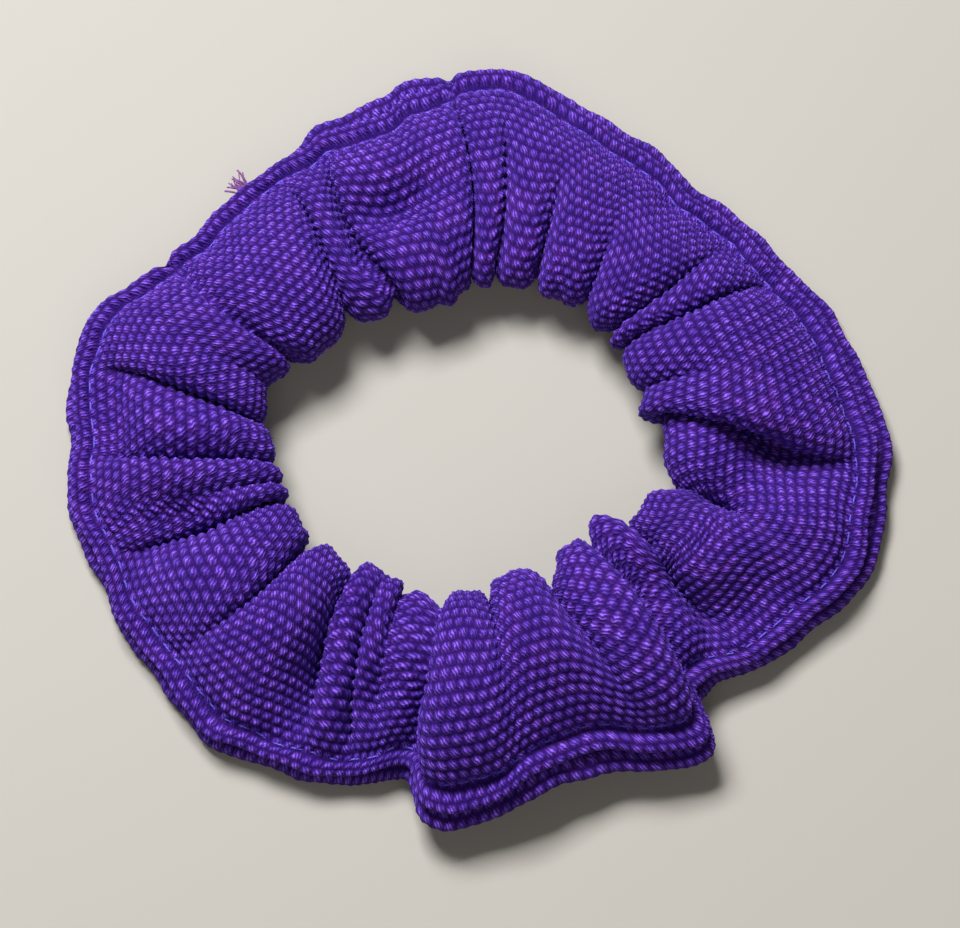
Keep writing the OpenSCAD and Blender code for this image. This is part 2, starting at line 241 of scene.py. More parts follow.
def sections(angles):
    """Cross-sections of the full cover as (section, row, [radius, height])."""
    rim = around(RIM, RIM_SOFT, angles)
    low_lip = around(LIP, LIP_SOFT, angles) + wobble(angles, 0.9)
    up_lip = low_lip - around(STEP, 1.5, angles) + wobble(angles, 2.3)
    lift = around(LIFT, 1.0, angles)
    z_low = FLOOR + 0.25 + lift
    z_up = z_low + 4 * LIP_HALF + around(PARTING, 4.0, angles) + wobble(angles, 4.1)
    top = around(CREST, 1.4, angles)
    crest = rim + CREST_AT * (up_lip - rim)
    rest_from = rim + REST_FROM * (low_lip - rim)
    rest_to = rim + REST_TO * (low_lip - rim)
    rest_z = FLOOR + 0.45 + 0.25 * lift
    shoulder = up_lip - FLANGE
    heel = low_lip - FLANGE

    def at(r, z):
        return np.stack([r + 0 * rim, z + 0 * rim], -1)

    def fold(lip, z_first, z_last):
        turn = np.radians(np.linspace(-90, 90, 7))[None, :]
        middle = ((z_first + z_last) / 2)[:, None]
        half = ((z_last - z_first) / 2)[:, None]
        return np.stack([lip[:, None] - LIP_HALF + LIP_HALF * np.cos(turn),
                         middle + half * np.sin(turn)], -1)

    upper = fold(up_lip, z_up - 2 * LIP_HALF, z_up)
    lower = fold(low_lip, z_low, z_low + 2 * LIP_HALF)
    part_a = np.concatenate([at(up_lip - LIP_HALF - TURN_IN, z_up - 2 * LIP_HALF)[:, None],
                             upper[:, :4]], 1)
    part_b = np.concatenate([
        upper[:, 3:],
        bezier(at(shoulder, z_up),
               at(shoulder - 0.12 * (shoulder - crest), z_up + 0.50 * (top - z_up)),
               at(crest + 0.50 * (shoulder - crest), top), at(crest, top), CURVE_POINTS),
        bezier(at(crest, top), at(crest - 0.62 * (crest - rim), top),
               at(rim, RIM_Z + RIM_SQUARE * (top - RIM_Z)), at(rim, RIM_Z), CURVE_POINTS)[:, 1:]],
        1)
    part_c = np.concatenate([
        bezier(at(rim, RIM_Z), at(rim, RIM_Z - RIM_SQUARE * (RIM_Z - rest_z)),
               at(rest_from - 0.5 * (rest_from - rim), rest_z), at(rest_from, rest_z),
               CURVE_POINTS),
        bezier(at(rest_to, rest_z), at(rest_to + HEEL_EASE * (heel - rest_to), rest_z),
               at(heel - HEEL_EASE * (heel - rest_to), z_low), at(heel, z_low),
               CURVE_POINTS // 2),
        lower[:, :4]], 1)
    part_d = np.concatenate([
        lower[:, 3:], at(low_lip - LIP_HALF - TURN_IN, z_low + 2 * LIP_HALF)[:, None]], 1)
    out = np.zeros((len(angles), ROWS + 1, 2))
    for k in range(len(angles)):
        row = 0
        for part, rows in ((part_a, ROWS_A), (part_b, ROWS_B), (part_c, ROWS_C), (part_d, ROWS_D)):
            out[k, row:row + rows + 1] = spaced(part[k], rows)
            row += rows
    return out


class PlainCover:
    """The cover with no creases in it, read at any direction and row."""

    def __init__(self):
        self.step = 0.5
        self.angles = np.arange(0, 360, self.step)
        self.table = sections(self.angles)

    def read(self, row, angle):
        at = np.mod(angle, 360) / self.step
        low = np.floor(at).astype(int) % len(self.angles)
        share = (at - np.floor(at))[..., None]
        flat = self.table[low, row] * (1 - share)
        flat = flat + self.table[(low + 1) % len(self.angles), row] * share
        turn = np.radians(angle)
        return np.stack([flat[..., 0] * np.cos(turn), flat[..., 0] * np.sin(turn),
                         flat[..., 1]], -1)


plain = PlainCover()
mean_section = plain.table.mean(axis=0)
rim_mean = mean_section[RIM_ROW, 0]
shoulder_mean = mean_section[ROWS_A:RIM_ROW, 0].max() - FLANGE
past_rim = (mean_section[:, 0] - rim_mean) / (shoulder_mean - rim_mean)
ROW_SHARE = np.clip(past_rim, 0, 1)        # of the way from the rim to the flange
row_number = np.arange(ROWS + 1)
ON_TOP = row_number <= RIM_ROW
# How much of the creases each row takes: none at the lips, little where the cover rests
TOP_TAKES = 1 - smoothstep(0.90, 1.12, np.where(ON_TOP, past_rim, 0))
UNDER_TAKES = 0.22 + 0.78 * (1 - smoothstep(RIM_ROW, RIM_ROW + 8, row_number))
UNDER_TAKES = UNDER_TAKES * (1 - smoothstep(RIM_ROW + 12, RIM_ROW + 18, row_number))
TAKES = np.where(ON_TOP, TOP_TAKES, UNDER_TAKES)
RIM_TAKES = 1 - 0.28 * np.exp(-((row_number - RIM_ROW) / 2.5) ** 2)

# ---- gathering the cover ----

SAMPLES = 36               # points of each row between one crease and the next
CREST_ROUND = 0.55         # under 1 makes full puffs and sharp creases
PUFF_WIDEN = 0.10          # how far puffs swell sideways over their creases
ELASTIC_CLEAR = 1.4        # from the elastic to the bottom of a crease, the knit included
LOW_CREASE = 3.0           # lowest that a crease comes down over the underside
OVER_ELASTIC = 8.9         # lowest that a crease comes down over the elastic
UNDER_ELASTIC = 0.8        # highest that a crease of the underside goes up below the elastic
ELASTIC_REACH = 3.5        # from the elastic's inner face outwards, its lap and room included
RIPPLE = 0.35              # small unevenness of the gathered rim


def through(values, share):
    """A curve through three values, at the rim, halfway and at the flange."""
    a, b, c = values
    return (a * (1 - share) * (1 - 2 * share) + 4 * b * share * (1 - share)
            + c * share * (2 * share - 1))


def elastic_radius(angle):
    """Distance from the middle of the ring to the inner face of the elastic."""
    wide = (elastic_high[0] - elastic_low[0] - ELASTIC_LAP_BULGE) / 2 - ELASTIC_THICK
    deep = (elastic_high[1] - elastic_low[1]) / 2 - ELASTIC_THICK
    turn = np.radians(angle)
    return wide * deep / np.hypot(deep * np.cos(turn), wide * np.sin(turn))


def gathered_row(row):
    """One row of the cover right round the ring, with its creases and hollows."""
    share = ROW_SHARE[row]
    count = len(CREASES)
    starts = [through(c[0], share) for c in CREASES] + [through(CREASES[0][0], share) + 360]
    depths = [np.interp(share, [0, 0.5, 1], c[1]) for c in CREASES]
    unders = [c[2] * min(1.0, d / 3) for c, d in zip(CREASES, depths)]
    depths.append(depths[0])
    unders.append(unders[0])
    w = np.arange(SAMPLES) / SAMPLES
    angle, depth, puff, under, slide = [], [], [], [], []
    for k in range(count):
        span = starts[k + 1] - starts[k]
        height = np.sin(np.pi * w) ** CREST_ROUND
        angle.append(starts[k] + span * w)
        depth.append(depths[k] + (depths[k + 1] - depths[k]) * smoothstep(0, 1, w))
        puff.append(height)
        under.append(np.where(w < 0.5, unders[k], unders[k + 1]) * (1 - height))
        slide.append(-PUFF_WIDEN * np.sin(2 * np.pi * w) * span)
    angle, depth, puff, under, slide = map(np.concatenate, (angle, depth, puff, under, slide))
    room = (elastic_radius(angle) - ELASTIC_CLEAR - around(RIM, RIM_SOFT, angle)) / RIM_TAKES.min()
    depth = np.minimum(depth, room + 8 * smoothstep(1.5, 5, RIM_ROW - row))
    takes = TAKES[row] * RIM_TAKES[row]
    here = plain.read(row, angle)
    rows_beside = plain.read(max(row - 1, 0), angle), plain.read(min(row + 1, ROWS), angle)
    beside = plain.read(row, angle + 0.5) - plain.read(row, angle - 0.5)
    turn = np.radians(angle)
    tangent = np.stack([-np.sin(turn), np.cos(turn), 0 * turn], -1)
    radius = np.hypot(here[:, 0], here[:, 1])
    outward = unit(np.cross(unit(beside), unit(rows_beside[1] - rows_beside[0])))
    if row <= RIM_ROW:
        upright = smoothstep(0.45, 0.85, share)
        outward = unit(outward * (1 - upright) + np.array([0, 0, 1.0]) * upright)
    height = -takes * depth * (1 - puff)
    if row <= RIM_ROW:
        for direction, middle, reach, reach_across, hollow in HOLLOWS:
            off = (angle - direction + 180) % 360 - 180
            height = height - TAKES[row] * hollow * smoothstep(1, 7, RIM_ROW - row) * np.exp(
                -(off / reach) ** 2 - ((share - middle) / reach_across) ** 2)
    ripple = np.sin(np.radians(angle * 53)) + np.sin(np.radians(angle * 41 + 70))
    near_rim = np.exp(-((row - RIM_ROW) / 3.5) ** 2)
    height = height + RIPPLE * near_rim * ripple
    sideways = takes * (under + slide * np.radians(1) * radius * smoothstep(0.5, 3, depth))
    moved = here + outward * height[:, None] + tangent * sideways[:, None]
    if UPPER_LIP_ROW < row <= RIM_ROW - 4:
        lips = plain.read(UPPER_LIP_ROW + 1, angle)[:, 2]
        lowest = LOW_CREASE + (lips - LOW_CREASE) * smoothstep(0.55, 1.0, share)
        beyond = np.hypot(moved[:, 0], moved[:, 1]) - elastic_radius(angle)
        over = smoothstep(-1.5, -0.7, beyond) * (1 - smoothstep(2.2, 4.0, beyond))
        moved[:, 2] = np.maximum(moved[:, 2], np.maximum(lowest, OVER_ELASTIC * over))
    if RIM_ROW < row < RIM_ROW + 12:
        radius = np.hypot(moved[:, 0], moved[:, 1])
        beyond = radius - elastic_radius(angle)
        inward, down = beyond + ELASTIC_CLEAR, moved[:, 2] - UNDER_ELASTIC
        blocked = (inward > 0) & (down > 0) & (beyond < ELASTIC_REACH)
        beside_it = blocked & (inward < down)
        moved[:, :2] *= np.where(beside_it, 1 - inward / radius, 1)[:, None]
        moved[:, 2] -= np.where(blocked & ~beside_it, down, 0)
    return moved


rows_dense = np.stack([gathered_row(row) for row in row_number])
rows_dense[:, :, :2] += RING
rows_dense[:, :, 2] = np.maximum(rows_dense[:, :, 2], FLOOR + 0.4)
RING_SAMPLES = rows_dense.shape[1]
UNDERLAP = 26              # samples by which the short strip runs on under the long one
FINE = 2                   # columns of points for each stitch while the cover is gathered


def row_length(first, last):
    """The middle value of the lengths of all rows between two samples of the ring."""
    index = np.arange(first, last + 1) % RING_SAMPLES
    steps = np.linalg.norm(np.diff(rows_dense[:, index], axis=1), axis=2).sum(axis=1)
    return float(np.median(steps))


def stretch_of_ring(first, last, columns):
    """The cover from one sample of the ring to another, each puff with its own share of columns."""
    marks = [first] + list(range((first // SAMPLES + 1) * SAMPLES, last, SAMPLES)) + [last]
    lengths = np.array([row_length(a, b) for a, b in zip(marks, marks[1:])])
    ends = np.round(np.cumsum(lengths) / lengths.sum() * columns).astype(int)
    parts = []
    for a, b, wide in zip(marks, marks[1:], np.diff(ends, prepend=0)):
        index = np.arange(a, b + 1) % RING_SAMPLES
        part = np.stack([spaced(rows_dense[row][index], FINE * wide) for row in row_number])
        parts.append(part[:, :-1])
    return np.concatenate(parts + [part[:, -1:]], axis=1)


def evened(grid):
    """Spaces the rows between the flange and the underside evenly along every column."""
    first, last = UPPER_LIP_ROW + 3, RIM_ROW + 10
    for column in range(grid.shape[1]):
        grid[first:last + 1, column] = spaced(grid[first:last + 1, column], last - first)
    return grid


# How far each pass evens the cover out between its flanges and at them, and how many passes
SETTLE, SETTLE_FLANGE, SETTLE_TIMES = 0.35, 0.05, 4


def settled(grid):
    """Evens out the cover, its flanges only a little, and keeps the edges of the strip."""
    between = (row_number > UPPER_LIP_ROW + 3) & (row_number < LOWER_LIP_ROW - 3)
    weight = np.where(between, SETTLE, SETTLE_FLANGE)[1:-1, None, None]
    for _ in range(SETTLE_TIMES):
        inner = grid[1:-1, 1:-1]
        ring = (grid[:-2, 1:-1] + grid[2:, 1:-1] + grid[1:-1, :-2] + grid[1:-1, 2:]) / 4
        grid[1:-1, 1:-1] = inner + weight * (ring - inner)
    return grid


PLAIN_AT, LAPPED_AT = PLAIN_SEAM * SAMPLES, LAPPED_SEAM * SAMPLES
short_columns = 2 * round(row_length(PLAIN_AT, LAPPED_AT + UNDERLAP) / COURSE / 2)
long_columns = 2 * round(row_length(LAPPED_AT, RING_SAMPLES) / COURSE / 2)
short_cloth = stretch_of_ring(PLAIN_AT, LAPPED_AT + UNDERLAP, short_columns)
short_cloth = settled(evened(short_cloth))
long_cloth = settled(evened(stretch_of_ring(LAPPED_AT, RING_SAMPLES, long_columns)))


def seam_normals(mark):
    """Outward directions along a cross seam, a row at a time, as if there were no creases."""
    out = []
    for row in row_number:
        angle = np.array([through(CREASES[mark][0], ROW_SHARE[row])])
        across = plain.read(min(row + 1, ROWS), angle) - plain.read(max(row - 1, 0), angle)
        along = plain.read(row, angle + 1) - plain.read(row, angle - 1)
        out.append(unit(np.cross(unit(along), unit(across)))[0])
    return finer(np.array(out), PER_STITCH)


# ---- knitting: stitches stand out of the cloth in rows, each half a stitch along ----

PER_STITCH = 4             # mesh steps along and across each stitch
STITCH_RISE = 0.54         # how far a stitch stands out of the cloth
GROOVE = 0.8               # how deep the topstitching pulls the flange in
GROOVE_REACH = 0.60        # rows over which it does so
SEAM_FADE = 1.4            # length over which the cloth takes on the directions of a cross seam


def row_inside_lip(cloth, lip_row, step, inset):
    """The row, as a fraction, that lies this far in from a lip."""
    rows = lip_row + step * np.arange(8)
    length = np.linalg.norm(np.diff(cloth[rows], axis=0), axis=2).mean(axis=1)
    return float(np.interp(inset, np.concatenate([[0], np.cumsum(length)]), rows))


TOP_STITCH_ROW = row_inside_lip(long_cloth, UPPER_LIP_ROW, 1, STITCH_INSET + 0.6)
UNDER_STITCH_ROW = row_inside_lip(long_cloth, LOWER_LIP_ROW, -1, STITCH_INSET + 1.5)


class Face:
    """The outer face of a strip at PER_STITCH steps a stitch, first plain and then knitted."""

    def __init__(self, cloth, first_normals=None, last_normals=None):
        self.plain = both_ways(cloth, PER_STITCH, PER_STITCH // FINE)
        self.normal = grid_normals(self.plain)
        rows, columns = self.plain.shape[:2]
        self.row = (np.arange(rows) / PER_STITCH)[:, None]
        self.column = (np.arange(columns) / PER_STITCH)[None, :]
        self.from_first = self.column * COURSE
        self.from_last = self.from_first[:, ::-1]
        for away, normals in ((self.from_first, first_normals), (self.from_last, last_normals)):
            if normals is not None:
                share = np.exp(-(away / SEAM_FADE) ** 2)[..., None]
                self.normal = unit(self.normal * (1 - share) + normals[:, None, :] * share)

    def move(self, height):
        """Pushes the face out by a height that is given for every row, column or point."""
        self.plain = self.plain + self.normal * (height + 0 * self.row)[..., None]

    def groove(self, at_row):
        self.move(-GROOVE * np.exp(-((self.row - at_row) / GROOVE_REACH) ** 2))

    def knitted(self, seed):
        own = np.random.default_rng(seed)
        row = np.floor(self.row)
        whole = row.astype(int)[:, 0]
        shift = own.normal(0, 0.04, whole.max() + 2)[whole][:, None]
        along = self.column + row % 2 / 2 + shift
        uneven = own.uniform(0.65, 1.15, (whole.max() + 2, self.plain.shape[1]))
        size = uneven[whole[:, None], np.floor(along).astype(int) + 1]
        stitch = 0.5 - 0.5 * np.cos(2 * np.pi * along)
        across = np.abs(np.sin(np.pi * (self.row - row)))
        flatter = 1 - 0.35 * np.exp(-((self.row - RIM_ROW) / 4) ** 2)
        for lip_row in (UPPER_LIP_ROW, LOWER_LIP_ROW):
            flatter = flatter - 0.30 * np.exp(-((self.row - lip_row) / 1.5) ** 2)
        rise = STITCH_RISE * flatter * (size * (0.30 + 0.70 * stitch) * across - 0.40)
        return self.plain + self.normal * rise[..., None]


def mesh_piece(name, points, faces, uv, material):
    mesh = bpy.data.meshes.new(name)
    mesh.from_pydata((points * MM).tolist(), [], faces)
    mesh.update()
    if uv is not None:
        layer = mesh.uv_layers.new(name="Cloth")
        loops = np.zeros(len(mesh.loops), np.int32)
        mesh.loops.foreach_get("vertex_index", loops)
        layer.data.foreach_set("uv", uv[loops].astype(np.float32).ravel())
    mesh.polygons.foreach_set("use_smooth", np.ones(len(mesh.polygons), bool))
    mesh.materials.append(material)
    piece = bpy.data.objects.new(name, mesh)
    bpy.context.collection.objects.link(piece)
    return piece


def grid_faces(rows, columns, start, flip):
    r, c = np.meshgrid(np.arange(rows - 1), np.arange(columns - 1), indexing="ij")
    a = start + r * columns + c
    quads = np.stack([a, a + 1, a + columns + 1, a + columns], -1).reshape(-1, 4)
    return (quads[:, ::-1] if flip else quads).tolist()


def zipped(first, second, flip):
    """Triangles between two lines of points that have different numbers of points."""
    faces, i, j = [], 0, 0
    while i < len(first) - 1 or j < len(second) - 1:
        ahead = (i + 1) / (len(first) - 1) if i < len(first) - 1 else 9
        behind = (j + 1) / (len(second) - 1) if j < len(second) - 1 else 9
        if ahead <= behind:
            face = (first[i], first[i + 1], second[j])
            i += 1
        else:
            face = (first[i], second[j + 1], second[j])
            j += 1
        faces.append(face[::-1] if flip else face)
    return faces


def cloth_piece(name, outer, coarse, material):
    """A closed piece of knit: a fine outer face, a plain inner face, and its four edges."""
    inner = coarse - grid_normals(coarse) * KNIT_THICK
    rows, columns = outer.shape[:2]
    rows_in, columns_in = inner.shape[:2]
    start = rows * columns
    points = np.concatenate([outer.reshape(-1, 3), inner.reshape(-1, 3)])
    points[:, 2] = np.maximum(points[:, 2], FLOOR + 0.02)
    faces = grid_faces(rows, columns, 0, False)
    faces += grid_faces(rows_in, columns_in, start, True)
    out = np.arange(rows * columns).reshape(rows, columns)
    ins = start + np.arange(rows_in * columns_in).reshape(rows_in, columns_in)
    for edge, flip in ((0, True), (-1, False)):
        faces += zipped(out[edge].tolist(), ins[edge].tolist(), flip)
    for edge, flip in ((0, False), (-1, True)):
        faces += zipped(out[:, edge].tolist(), ins[:, edge].tolist(), flip)

    def spread(shape, steps):
        v, u = np.meshgrid(np.arange(shape[0]) * steps, np.arange(shape[1]) * steps,
                           indexing="ij")
        return np.stack([u, v], -1).reshape(-1, 2)

    uv = np.concatenate([spread(outer.shape, 1 / PER_STITCH), spread(inner.shape, 1)])
    return mesh_piece(name, points, faces, uv, material)


# ---- materials ----


def calc(tree, what, *values, clamp=False):
    """A Math node whose inputs are numbers or other nodes' outputs."""
    node = tree.nodes.new("ShaderNodeMath")
    node.operation = what
    node.use_clamp = clamp
    for socket, value in zip(node.inputs, values):
        if isinstance(value, (int, float)):
            socket.default_value = value
        else:
            tree.links.new(value, socket)
    return node.outputs[0]


def mixed(tree, share, first, second):
    """A colour between two colours or outputs."""
    node = tree.nodes.new("ShaderNodeMix")
    node.data_type = "RGBA"
    for socket, value in ((node.inputs[0], share), (node.inputs[6], first),
                          (node.inputs[7], second)):
        if isinstance(value, tuple):
            socket.default_value = value + (1,)
        elif isinstance(value, (int, float)):
            socket.default_value = value
        else:
            tree.links.new(value, socket)
    return node.outputs[2]


def noise(tree, vector, scale, detail=2.0, dimensions="3D"):
    node = tree.nodes.new("ShaderNodeTexNoise")
    node.noise_dimensions = dimensions
    node.inputs["Scale"].default_value = scale
    node.inputs["Detail"].default_value = detail
    if vector is not None:
        tree.links.new(vector, node.inputs["Vector"])
    return node.outputs[0]


def group_of(name, inputs, outputs):
    group = bpy.data.node_groups.new(name, "ShaderNodeTree")
    for socket, kind, value in inputs:
        made = group.interface.new_socket(socket, in_out="INPUT", socket_type=kind)
        if value is not None:
            made.default_value = value
    for socket, kind in outputs:
        group.interface.new_socket(socket, in_out="OUTPUT", socket_type=kind)
    return group, group.nodes.new("NodeGroupInput"), group.nodes.new("NodeGroupOutput")


def stitch_pattern():
    """Knit stitches in rows, each of a few slanting strands; the vector counts stitches."""
    group, given, result = group_of(
        "stitch_pattern",
        [("Cloth", "NodeSocketVector", None), ("Strands", "NodeSocketFloat", 2.6),
         ("Slant", "NodeSocketFloat", 1.3)],
        [("Stitch", "NodeSocketFloat"), ("Strand", "NodeSocketFloat"),
         ("Uneven", "NodeSocketFloat"), ("Height", "NodeSocketFloat")])
    split = group.nodes.new("ShaderNodeSeparateXYZ")
    group.links.new(given.outputs["Cloth"], split.inputs[0])
    row = calc(group, "FLOOR", split.outputs[1])
    half = calc(group, "MULTIPLY", calc(group, "MODULO", row, 2.0), 0.5)
    along = calc(group, "ADD", split.outputs[0], half)
    x = calc(group, "FRACT", along)
    y = calc(group, "FRACT", split.outputs[1])
    over = calc(group, "SINE", calc(group, "MULTIPLY", x, math.pi))
    across = calc(group, "SINE", calc(group, "MULTIPLY", y, math.pi))
    stitch = calc(group, "MULTIPLY", calc(group, "POWER", over, 1.7),
                  calc(group, "POWER", across, 1.9))
    cell = group.nodes.new("ShaderNodeCombineXYZ")
    group.links.new(calc(group, "FLOOR", along), cell.inputs[0])
    group.links.new(row, cell.inputs[1])
    chance = group.nodes.new("ShaderNodeTexWhiteNoise")
    group.links.new(cell.outputs[0], chance.inputs["Vector"])
    wander = noise(group, given.outputs["Cloth"], 2.2, 3.0)
    lines = calc(group, "ADD",
                 calc(group, "MULTIPLY", x, given.outputs["Strands"]),
                 calc(group, "MULTIPLY", y, given.outputs["Slant"]))
    lines = calc(group, "ADD", lines, calc(group, "MULTIPLY", wander, 1.6))
    lines = calc(group, "ADD", lines, chance.outputs[0])
    strand = calc(group, "MULTIPLY_ADD",
                  calc(group, "SINE", calc(group, "MULTIPLY", lines, 2 * math.pi)), 0.5, 0.5)
    strand = calc(group, "POWER", strand, 1.5)
    height = calc(group, "ADD", calc(group, "MULTIPLY", stitch, 0.6),
                  calc(group, "MULTIPLY", strand, 0.4))
    group.links.new(stitch, result.inputs["Stitch"])
    group.links.new(strand, result.inputs["Strand"])
    group.links.new(chance.outputs[0], result.inputs["Uneven"])
    group.links.new(height, result.inputs["Height"])
    return group


def yarn_twist():
    """Two plies twisted round each other; the vector runs along and round the yarn."""
    group, given, result = group_of(
        "yarn_twist",
        [("Yarn", "NodeSocketVector", None), ("Turns", "NodeSocketFloat", 1.2)],
        [("Ply", "NodeSocketFloat"), ("Hair", "NodeSocketFloat")])
    split = group.nodes.new("ShaderNodeSeparateXYZ")
    group.links.new(given.outputs["Yarn"], split.inputs[0])
    wound = calc(group, "ADD", calc(group, "MULTIPLY", split.outputs[0], given.outputs["Turns"]),
                 calc(group, "MULTIPLY", split.outputs[1], 2.0))
    ply = calc(group, "ABSOLUTE", calc(group, "SINE", calc(group, "MULTIPLY", wound, math.pi)))
    hair = noise(group, given.outputs["Yarn"], 9.0, 4.0)
    group.links.new(calc(group, "POWER", ply, 0.7), result.inputs["Ply"])
    group.links.new(hair, result.inputs["Hair"])
    return group


def placed(tree, group, **values):
    node = tree.nodes.new("ShaderNodeGroup")
    node.node_tree = group
    for name, value in values.items():
        node.inputs[name].default_value = value
    return node


def bump(tree, height, strength, distance):
    node = tree.nodes.new("ShaderNodeBump")
    node.inputs["Strength"].default_value = strength
    node.inputs["Distance"].default_value = distance * MM
    tree.links.new(height, node.inputs["Height"])
    return node.outputs[0]


def shaded(name, roughness, **values):
    """A material with its Principled shader: the tree, the shader and its own settings."""
    material = bpy.data.materials.new(name)
    material.use_nodes = True
    tree = material.node_tree
    tree.nodes.clear()
    out = tree.nodes.new("ShaderNodeOutputMaterial")
    skin = tree.nodes.new("ShaderNodeBsdfPrincipled")
    tree.links.new(skin.outputs[0], out.inputs[0])
    skin.inputs["Roughness"].default_value = roughness
    for socket, value in values.items():
        skin.inputs[socket.replace("_", " ")].default_value = value
    return material, tree, skin


STITCHES, TWIST = stitch_pattern(), yarn_twist()
# Painted shade: the colour of the gaps between stitches, darker than the yarn itself
PAINTED_SHADE_VIOLET = (0.018, 0.0016, 0.098)
MID_VIOLET = (0.064, 0.014, 0.27)
# Painted highlight: the colour painted on the tops of the stitches
PAINTED_HIGHLIGHT_VIOLET = (0.280, 0.130, 0.86)
RED_VIOLET = (0.095, 0.012, 0.20)


def knit_material():
    material, tree, skin = shaded("purple_knit", 0.75, Sheen_Weight=0.28, Sheen_Roughness=0.45,
                                  Sheen_Tint=(0.25, 0.12, 1.0, 1), Specular_IOR_Level=0.12)
    uv = tree.nodes.new("ShaderNodeUVMap")
    uv.uv_map = "Cloth"
    knit = placed(tree, STITCHES, Strands=3.0, Slant=1.7)
    tree.links.new(uv.outputs[0], knit.inputs["Cloth"])
    place = tree.nodes.new("ShaderNodeTexCoord").outputs["Object"]
    patch = noise(tree, place, 45.0, 3.0)
    hairs = noise(tree, place, 3200.0, 3.0)
    # Painted shade: the yarn is coloured darker in the gaps between its stitches
    yarn_with_painted_shade = mixed(tree, calc(tree, "POWER", knit.outputs["Stitch"], 0.75), PAINTED_SHADE_VIOLET, MID_VIOLET)
    red = calc(tree, "MULTIPLY", calc(tree, "GREATER_THAN", knit.outputs["Uneven"], 0.55),
               calc(tree, "MULTIPLY_ADD", patch, 1.2, -0.35, clamp=True))
    yarn_with_painted_shade = mixed(tree, calc(tree, "MULTIPLY", red, 0.55), yarn_with_painted_shade, RED_VIOLET)
    # Painted highlight: the tops of the stitches are coloured lighter, strand by strand, broken up
    # by fine fibres
    painted_highlight = calc(tree, "MULTIPLY", knit.outputs["Stitch"], knit.outputs["Strand"])
    painted_highlight = calc(tree, "MULTIPLY", painted_highlight,
               calc(tree, "MULTIPLY_ADD", knit.outputs["Uneven"], 0.9, 0.4))
    painted_highlight = calc(tree, "MULTIPLY", painted_highlight, calc(tree, "MULTIPLY_ADD", hairs, 2.0, 0.1), clamp=True)
    tree.links.new(mixed(tree, painted_highlight, yarn_with_painted_shade, PAINTED_HIGHLIGHT_VIOLET), skin.inputs["Base Color"])
    tree.links.new(calc(tree, "MULTIPLY_ADD", knit.outputs["Strand"], -0.25, 0.85),
                   skin.inputs["Roughness"])
    height = calc(tree, "ADD", knit.outputs["Height"], calc(tree, "MULTIPLY", hairs, 0.25))
    tree.links.new(bump(tree, height, 0.9, 0.34), skin.inputs["Normal"])
    return material


def thread_material(name, painted_ply_shade, light, turns, roughness):
    material, tree, skin = shaded(name, roughness, Sheen_Weight=0.2, Specular_IOR_Level=0.5)
    uv = tree.nodes.new("ShaderNodeUVMap")
    uv.uv_map = "Cloth"
    twist = placed(tree, TWIST, Turns=turns)
    tree.links.new(uv.outputs[0], twist.inputs["Yarn"])
    # Painted shade: the thread is coloured darker in the grooves between its plies and lighter on
    # their crowns
    share = calc(tree, "MULTIPLY", twist.outputs["Ply"],
                 calc(tree, "MULTIPLY_ADD", twist.outputs["Hair"], 0.8, 0.5), clamp=True)
    tree.links.new(mixed(tree, share, painted_ply_shade, light), skin.inputs["Base Color"])
    tree.links.new(calc(tree, "MULTIPLY_ADD", twist.outputs["Hair"], 0.3, roughness - 0.1),
                   skin.inputs["Roughness"])
    tree.links.new(bump(tree, twist.outputs["Ply"], 0.6, 0.08), skin.inputs["Normal"])
    return material


# ---- camera, light and floor ----

VIEW_TILT = 74             # degrees above the table
LENS = 300
FILM_WIDTH = 36
FLOOR_HALF = 2000
SEEN_WIDTH = 134.4         # millimetres across the picture at the height of the cover
distance = LENS / FILM_WIDTH * SEEN_WIDTH
target = np.array([0.0, -0.1, 0.0])
tilt = math.radians(VIEW_TILT)
eye = target + distance * np.array([0, -math.cos(tilt), math.sin(tilt)])
camera = bpy.data.objects.new("camera", bpy.data.cameras.new("camera"))
camera.data.lens = LENS
camera.data.sensor_width = FILM_WIDTH
camera.data.clip_start = 0.01
camera.location = eye * MM
camera.rotation_euler = (math.radians(90 - VIEW_TILT), 0, 0)
bpy.context.collection.objects.link(camera)
bpy.context.scene.camera = camera


def lamp(name, place, size, watts, colour):
    light = bpy.data.lights.new(name, "AREA")
    light.shape = "RECTANGLE"
    light.size, light.size_y = size
    light.energy = watts
    light.color = colour
    holder = bpy.data.objects.new(name, light)
    holder.location = place
    aim = -np.array(place) / np.linalg.norm(place)
    yaw = math.atan2(aim[1], aim[0])
    holder.rotation_euler = (math.pi / 2 - math.asin(-aim[2]), 0, yaw - math.pi / 2)
    bpy.context.collection.objects.link(holder)


lamp("window", (-0.26, 0.50, 0.90), (0.45, 0.35), 20, (0.95, 0.97, 1.0))
lamp("room", (0.1, -0.7, 0.9), (0.9, 0.9), 3.0, (1.0, 0.97, 0.93))
world = bpy.data.worlds.new("room")
world.use_nodes = True
background = world.node_tree.nodes["Background"]
background.inputs[0].default_value = (0.85, 0.88, 0.95, 1)
background.inputs[1].default_value = 0.09
bpy.context.scene.world = world
bpy.context.scene.view_settings.view_transform = "Standard"

floor_material = shaded("table_top", 0.55, Base_Color=(0.36, 0.33, 0.285, 1))[0]
floor_corners = np.array([[x * FLOOR_HALF, y * FLOOR_HALF, FLOOR]
                          for x, y in ((-1, -1), (1, -1), (1, 1), (-1, 1))])
floor = mesh_piece("table_top", floor_corners, [(0, 1, 2, 3)], None, floor_material)

# ---- the cover ----

